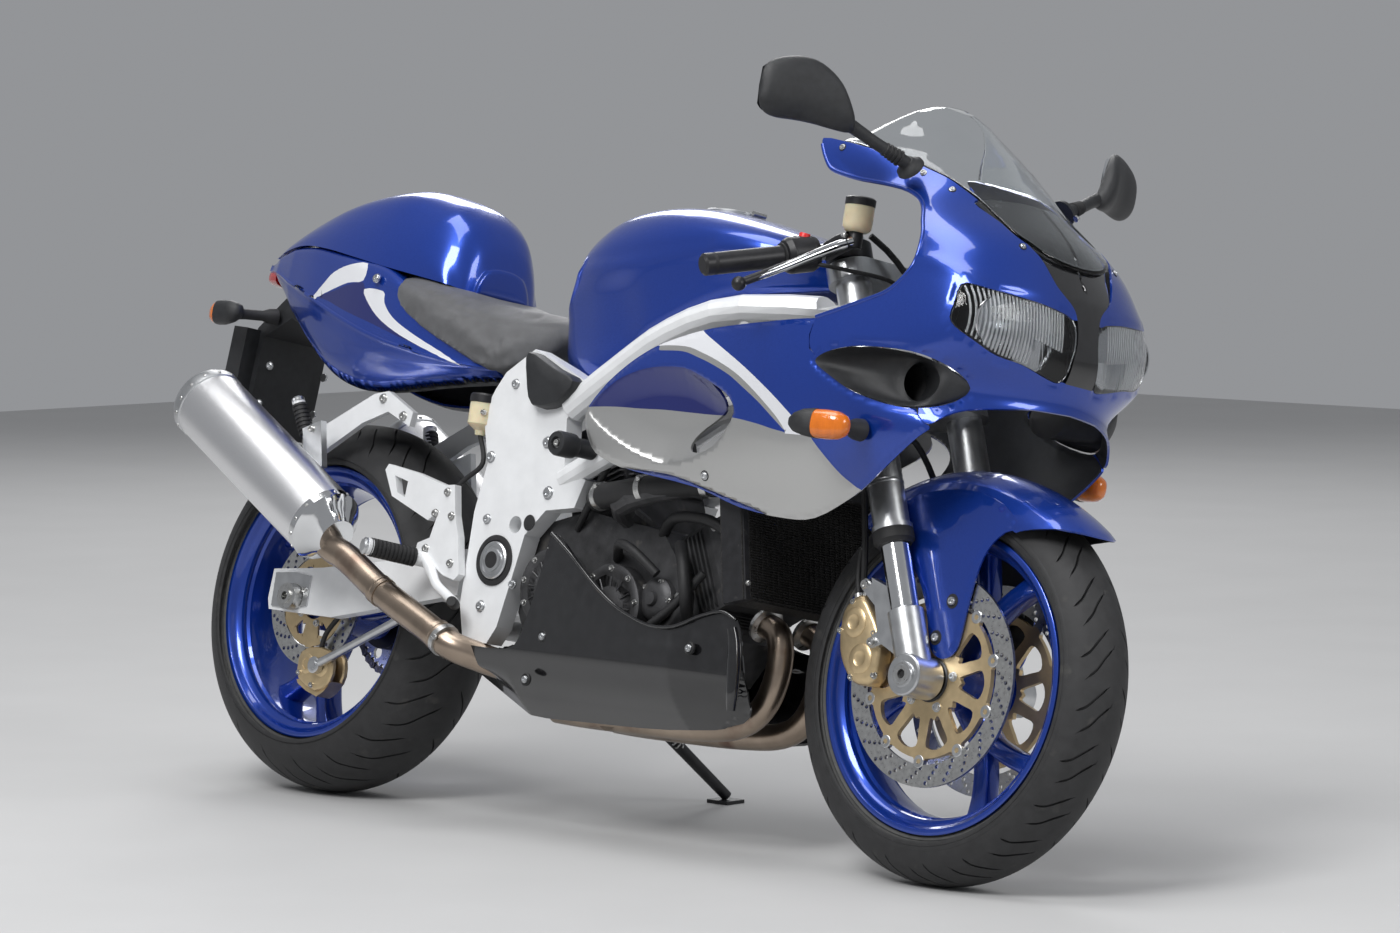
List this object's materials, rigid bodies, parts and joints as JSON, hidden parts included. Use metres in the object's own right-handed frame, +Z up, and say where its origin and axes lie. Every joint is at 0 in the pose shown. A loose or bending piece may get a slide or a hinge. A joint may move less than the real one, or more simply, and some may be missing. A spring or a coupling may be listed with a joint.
{
  "type": "sport motorcycle",
  "caption": "Half-faired sport motorcycle leaning on its side stand, with twin silencers, a single seat with a rear hump, clip-on bars and three-spoke wheels.",
  "frame": {"origin": "middle of the bounding box's base, on the floor, with the machine leaning on its side stand", "axes": "+X towards the front wheel, +Y to the rider's left, +Z up"},
  "size_m": [2.0234, 0.845, 1.2293],
  "materials": {
    "amber": "translucent",
    "bare_aluminium": "brushed",
    "black_gloss": "glossy",
    "black_metal": "satin",
    "black_plastic": "satin",
    "cast_silver": "satin",
    "clear": "clear",
    "gold": "anodised",
    "lamp_glass": "fluted",
    "paint_blue": "glossy metallic",
    "paint_white": "satin",
    "pipe": "heat tinted",
    "plastic_blue": "glossy metallic paint",
    "red": "translucent",
    "rubber_black": "matt",
    "seat_cover": "grained",
    "steel": "brushed",
    "tyre_rubber": "matt"
  },
  "bodies": {
    "chassis": {"frame": "paint_white", "subframe": "paint_white", "swingarm": "paint_white", "rear_shock": "steel", "engine": "black_metal", "radiator": "black_metal", "exhaust_headers": "pipe", "silencer_right": "bare_aluminium", "silencer_left": "bare_aluminium", "fuel_tank": "paint_blue", "seat": "seat_cover", "seat_cowl": "plastic_blue", "tail_section": "plastic_blue", "rear_mudguard": "black_plastic", "tail_lamp": "red", "rear_indicators": "amber", "nose_cowl": "plastic_blue", "side_fairing_right": "plastic_blue", "side_fairing_left": "plastic_blue", "belly_pan": "black_gloss", "windscreen": "clear", "screen_base": "black_gloss", "headlight": "lamp_glass", "intake_duct_right": "black_plastic", "intake_duct_left": "black_plastic", "instrument_panel": "black_plastic", "mirror_right": "black_plastic", "mirror_left": "black_plastic", "front_indicators": "amber", "footrest_right": "paint_white", "footrest_left": "paint_white", "passenger_footrests": "paint_white", "chain": "steel", "rear_axle": "steel", "rear_caliper": "gold", "crash_bobbins": "black_plastic", "frame_pads": "black_plastic"},
    "steering": {"yokes": "cast_silver", "fork_leg_right": "cast_silver", "fork_leg_left": "cast_silver", "front_fender": "plastic_blue", "handlebar_right": "black_metal", "handlebar_left": "black_metal", "front_caliper_right": "gold", "front_caliper_left": "gold", "brake_hoses": "rubber_black", "front_axle": "steel"},
    "front_wheel": {"front_rim": "paint_blue", "front_tyre": "tyre_rubber", "front_discs": "steel"},
    "rear_wheel": {"rear_rim": "paint_blue", "rear_tyre": "tyre_rubber", "rear_disc": "steel", "rear_sprocket": "steel"},
    "side_stand": {"side_stand": "black_metal"},
    "fuel_lid": {"fuel_lid": "cast_silver"}
  },
  "joints": [
    {"name": "steering_turn", "type": "hinge", "parent": "chassis", "child": "steering", "pos_m": [0.80675, -0.23754, 0.00137], "axis": [-0.3907, 0.1953, 0.8995], "range_deg": [-27, 27]},
    {"name": "front_wheel_spin", "type": "hinge", "parent": "steering", "child": "front_wheel", "pos_m": [0.71175, -0.17389, 0.29453], "axis": [0, 0.9772, -0.2122], "continuous": true},
    {"name": "rear_wheel_spin", "type": "hinge", "parent": "chassis", "child": "rear_wheel", "pos_m": [-0.68325, -0.17136, 0.30615], "axis": [0, 0.9772, -0.2122], "continuous": true},
    {"name": "side_stand_fold", "type": "hinge", "parent": "chassis", "child": "side_stand", "pos_m": [-0.15075, -0.04109, 0.19919], "axis": [-0.0605, 0.7091, 0.7025], "range_deg": [0, 86]},
    {"name": "fuel_lid_hinge", "type": "hinge", "parent": "chassis", "child": "fuel_lid", "pos_m": [0.13625, -0.02504, 0.98006], "axis": [0, 0.9772, -0.2122], "range_deg": [0, 100]}
  ]
}
